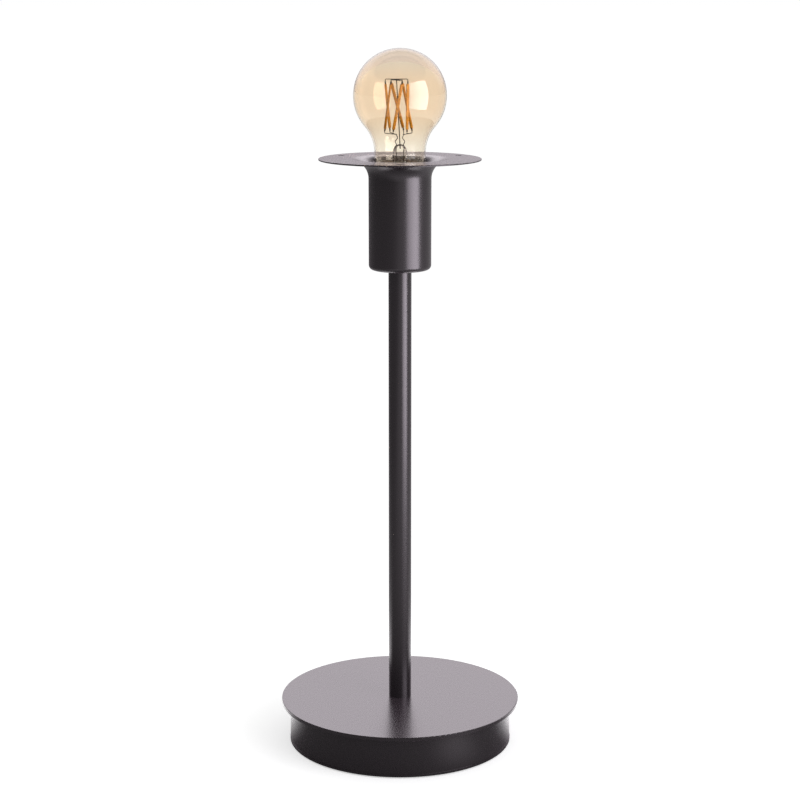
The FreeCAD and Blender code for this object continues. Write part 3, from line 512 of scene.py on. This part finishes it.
def makeBars():
    # section: a flat oval |x/w|^k + |y/t|^k = 1 with k the squareness, carried along a straight run
    # and turned about it; both ends close as a quarter circle
    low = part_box("bulb_mount")[1][2] / mm + bars["lift"]
    around = np.linspace(0, 2 * pi, bars["sides"], endpoint=False)
    oval = [np.sign(f(around)) * np.abs(f(around)) ** (2 / bars["squareness"]) for f in (np.cos, np.sin)]
    run = np.linspace(0, 1, bars["rings"])
    draws = np.random.default_rng(bars["seed"]).uniform(-1, 1, (bars["count"], 2))
    allPoints, allFaces, allUv = [], [], []
    for i in range(bars["count"]):
        turn = radians(360 * i / bars["count"])
        back = turn - radians(bars["lean"])
        head = np.array([bars["headRadius"] * cos(turn) + bars["headShift"],
                         bars["headRadius"] * sin(turn), low + bars["rise"]])
        foot = np.array([bars["footRadius"] * cos(back) + bars["footShift"],
                         bars["footRadius"] * sin(back), low])
        length = np.linalg.norm(head - foot)
        along = (head - foot) / length
        start, end = bars["clip"] - bars["clipCover"], length - bars["clip"] + bars["clipCover"]
        s = start + (end - start) * run
        middle = foot + along * s[:, None]
        outward = (head + foot) / 2 * (1, 1, 0)
        across = np.cross(along, outward / np.linalg.norm(outward))
        across /= np.linalg.norm(across)
        out = np.cross(across, along)
        angle = radians(bars["twist"]) * (run - 0.5) * draws[i, 0] + bars["turnSpread"] * draws[i, 1]
        wide = across * np.cos(angle)[:, None] + out * np.sin(angle)[:, None]
        thick = out * np.cos(angle)[:, None] - across * np.sin(angle)[:, None]
        fromEnd = np.minimum(s - start, end - s) / bars["endRound"]
        close = np.sqrt(1 - (1 - np.clip(fromEnd, bars["endOpen"], 1)) ** 2)
        swell = bars["chipSwell"] * np.cos(2 * pi * s / bars["chipPitch"]) * (fromEnd > 1)
        halfWide = (bars["width"] / 2 * close)[:, None] * oval[0]
        halfThick = ((bars["thickness"] / 2 + swell) * close)[:, None] * oval[1]
        points = middle[:, None] + halfWide[..., None] * wide[:, None] + halfThick[..., None] * thick[:, None]
        first = len(allPoints) * points.shape[0] * points.shape[1]
        faces = gridFaces(bars["rings"], bars["sides"], False)
        ends = endCaps(points[..., 0].size, bars["sides"])
        allFaces += (faces + first).tolist() + [[first + k for k in end] for end in ends]
        allPoints.append(points * mm)
        allUv.append(np.stack([np.broadcast_to(around / (2 * pi), points.shape[:2]),
                               np.broadcast_to(run[:, None], points.shape[:2])], -1))
    makePiece("filamentBars", np.array(allPoints), allFaces, "phosphor_silicone", "led_filaments", "bulb",
              np.array(allUv))


makeBars()
print("filament bars made")

# screw cap of the bulb: drawn sheet with a rolled thread, in mm
cap = {
    "sheet": 0.3,
    "crest": 13.1,
    "root": 12.15,
    "pitch": 25.4 / 7,
    "threadFrom": 2.9,       # above the cap's lower edge
    "threadTo": 13.6,
    "fade": 1.6,             # run in which the thread starts and dies out
    "collar": 12.95,         # plain part over the thread
    "lip": 1.2,              # inward lip at the insulator
    "lipRise": 1.4,
    "rimFlare": 0.15,
    "rimRun": 1.2,
    "columns": 240,
    "rows": 200,
}


def smoothStep(value):
    # 3 v^2 - 2 v^3, from 0 to 1
    value = np.clip(value, 0, 1)
    return value * value * (3 - 2 * value)


def threadOffset(angle, height, values):
    # round thread: a cosine of height / pitch minus turns, so that it climbs one pitch a turn
    wave = 0.5 - 0.5 * np.cos(2 * pi * height / values["pitch"] - angle)
    return (values["crest"] - values["root"]) * wave


def makeCap():
    # outer wall up, inner wall down: r(a, z) = wall line minus the thread's depth where the thread runs
    low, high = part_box("bulb_cap")[0][2] / mm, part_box("bulb_cap")[1][2] / mm
    height = high - low
    rise = np.linspace(0, height, cap["rows"])[:, None]
    angle = np.linspace(0, 2 * pi, cap["columns"], endpoint=False)[None, :]
    inside = smoothStep((rise - cap["threadFrom"]) / cap["fade"])
    inside = inside * smoothStep((cap["threadTo"] - rise) / cap["fade"])
    rounded = np.clip(rise / cap["lipRise"], 0, 1)
    plain = cap["crest"] - cap["lip"] * (1 - np.sqrt(rounded * (2 - rounded)))
    plain = plain - (cap["crest"] - cap["collar"]) * smoothStep((rise - cap["threadTo"]) / cap["fade"])
    plain = plain + cap["rimFlare"] * smoothStep((rise - height + cap["rimRun"]) / cap["rimRun"])
    radius = plain - threadOffset(angle, rise, cap) * inside
    outer = polarGrid(angle, radius, rise + low)
    within = np.clip(rise, cap["sheet"] / 2, height - cap["sheet"] / 4)
    inner = polarGrid(angle, radius - cap["sheet"], within + low)
    points = np.concatenate([outer, inner[::-1]]) * mm
    makePiece("screwCap", points, gridFaces(2 * cap["rows"], cap["columns"], True).tolist(), "nickel",
              "bulb_cap", "bulb")


makeCap()
print("screw cap made")

# glass mount: flared foot, hollow tube with the exhaust tube in it, and a flat press with a round top, in mm
mount = {
    "footRadius": 11.55,
    "tubeRadius": 4.0,
    "wall": 0.7,
    "flareHeight": 9.0,
    "pressFrom": 13.0,       # above the foot
    "pressRun": 5.0,
    "press": (4.5, 1.5),     # half width and half thickness
    "dome": 5.0,             # height over which the press narrows to a round top
    "edge": 1.2,             # height over which its flat faces meet
    "domeOver": 1.0,         # how far the round top stands over the flat one
    "hollow": 15.5,
    "hollowEnd": 3.0,
    "exhaust": (1.5, 1.0),   # outer and inner radius
    "exhaustTop": 14.0,
    "open": 0.999,           # how far a top closes before its last ring becomes a face
    "rows": 90,
    "columns": 64,
}


def mountRadius(rise):
    # from the foot to the tube by the square of one minus a smooth step
    fall = 1 - smoothStep(rise / mount["flareHeight"])
    return mount["tubeRadius"] + (mount["footRadius"] - mount["tubeRadius"]) * fall ** 2


def closing(rise, top, run):
    # falls from 1 to 0 as a quarter ellipse over the last run below the top
    return np.sqrt(1 - np.clip((rise - top + run) / run, 0, mount["open"]) ** 2)


def makeMount():
    # half width and half thickness go from the tube's radius to the press's by a smooth step,
    # and each closes at the top over its own run
    low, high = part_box("bulb_mount")[0][2] / mm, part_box("bulb_mount")[1][2] / mm
    angle = np.linspace(0, 2 * pi, mount["columns"], endpoint=False)[None, :]
    rise = (1 - np.linspace(0, 1, mount["rows"])[:, None] ** 2) * (high - low + mount["domeOver"])
    flat = smoothStep((rise - mount["pressFrom"]) / mount["pressRun"])
    wide, thick = [(mountRadius(rise) * (1 - flat) + half * flat) * closing(rise, rise[0], run)
                   for half, run in zip(mount["press"], (mount["dome"], mount["edge"]))]
    outer = np.stack([wide * np.cos(angle), thick * np.sin(angle), rise + low + 0 * angle], -1)
    inside = np.linspace(0, 1, mount["rows"])[:, None] ** 0.5 * mount["hollow"]
    bore = (mountRadius(inside) - mount["wall"]) * closing(inside, mount["hollow"], mount["hollowEnd"])
    inner = polarGrid(angle, bore, inside + low)
    body = np.concatenate([outer, inner])
    faces = gridFaces(2 * mount["rows"], mount["columns"], False).tolist()
    count = 2 * mount["rows"] * mount["columns"]
    faces += endCaps(count, mount["columns"])
    ring = np.array([(0, 0), (1, 0), (1, 1), (0, 1)])
    radii = np.array(mount["exhaust"])[ring[:, 0]][:, None]
    heights = np.array([0, mount["exhaustTop"]])[ring[:, 1]][:, None] + low
    faces += (gridFaces(4, mount["columns"], True) + count).tolist()
    points = np.concatenate([body.reshape(-1, 3), polarGrid(angle, radii, heights).reshape(-1, 3)])
    makePiece("glassMount", points * mm, faces, "clear_glass", "bulb_mount", "bulb")


makeMount()
print("glass mount made")

# plate screws: countersunk heads with a cross recess, and a thread in the bosses; in mm and degrees
screws = {
    "headRadius": 2.9,
    "neckRadius": 1.5,
    "coneHeight": 1.5,
    "length": 9.5,
    "pitch": 0.8,
    "crest": 1.5,
    "root": 1.25,
    "tip": 1.0,
    "tipTaper": 0.6,         # share of the radius that the tip loses
    "threadStart": 0.4,
    "crossArm": 1.75,        # reach of the recess
    "crossHalf": 0.32,       # half width of an arm
    "crossDepth": 0.95,
    "crossEnd": 0.5,         # slope at an arm's end
    "edge": 0.09,            # softness of the recess's edges
    "centre": 0.02,          # first ring of the face, as a share of the head's radius
    "columns": 96,
    "faceRows": 46,
    "bodyRows": 150,
    "circle": 53.2,          # through the bosses
    "angles": (-90, 30, 150),
}


def makeScrews():
    # face: sunk to the recess's depth where |x| or |y| is under an arm's half width;
    # then the cone, and a shank with a helical thread
    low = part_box("plate_screws")[0][2] / mm
    angle = np.linspace(0, 2 * pi, screws["columns"], endpoint=False)[None, :]
    r = np.linspace(screws["centre"], 1, screws["faceRows"])[:, None] * screws["headRadius"]
    x, y = np.abs(r * np.cos(angle)), np.abs(r * np.sin(angle))
    arm = smoothStep((screws["crossHalf"] + screws["edge"] / 2 - np.minimum(x, y)) / screws["edge"])
    reach = smoothStep((screws["crossArm"] - np.maximum(x, y)) / screws["crossEnd"])
    face = polarGrid(angle, r, low + screws["crossDepth"] * arm * reach)
    rise = np.linspace(0, screws["length"], screws["bodyRows"])[:, None]
    cone = np.clip(rise / screws["coneHeight"], 0, 1)
    plain = screws["headRadius"] + (screws["neckRadius"] - screws["headRadius"]) * cone
    threaded = smoothStep((rise - screws["coneHeight"]) / screws["threadStart"])
    plain = plain - threadOffset(angle, rise, screws) * threaded
    tip = smoothStep((rise - screws["length"] + screws["tip"]) / screws["tip"])
    shank = polarGrid(angle, plain * (1 - screws["tipTaper"] * tip), rise + low)
    one = np.concatenate([face, shank[1:]])
    count = one[..., 0].size
    faces = gridFaces(one.shape[0], screws["columns"], False).tolist()
    faces += endCaps(count, screws["columns"])
    allPoints, allFaces = [], []
    for i, turn in enumerate(screws["angles"]):
        place = (screws["circle"] * cos(radians(turn)), screws["circle"] * sin(radians(turn)), 0)
        allPoints.append((one + place).reshape(-1, 3))
        allFaces += [[corner + i * count for corner in corners] for corners in faces]
    makePiece("plateScrews", np.concatenate(allPoints) * mm, allFaces, "zinc_steel", "plate_screws", "lamp")


makeScrews()
print("screws made")
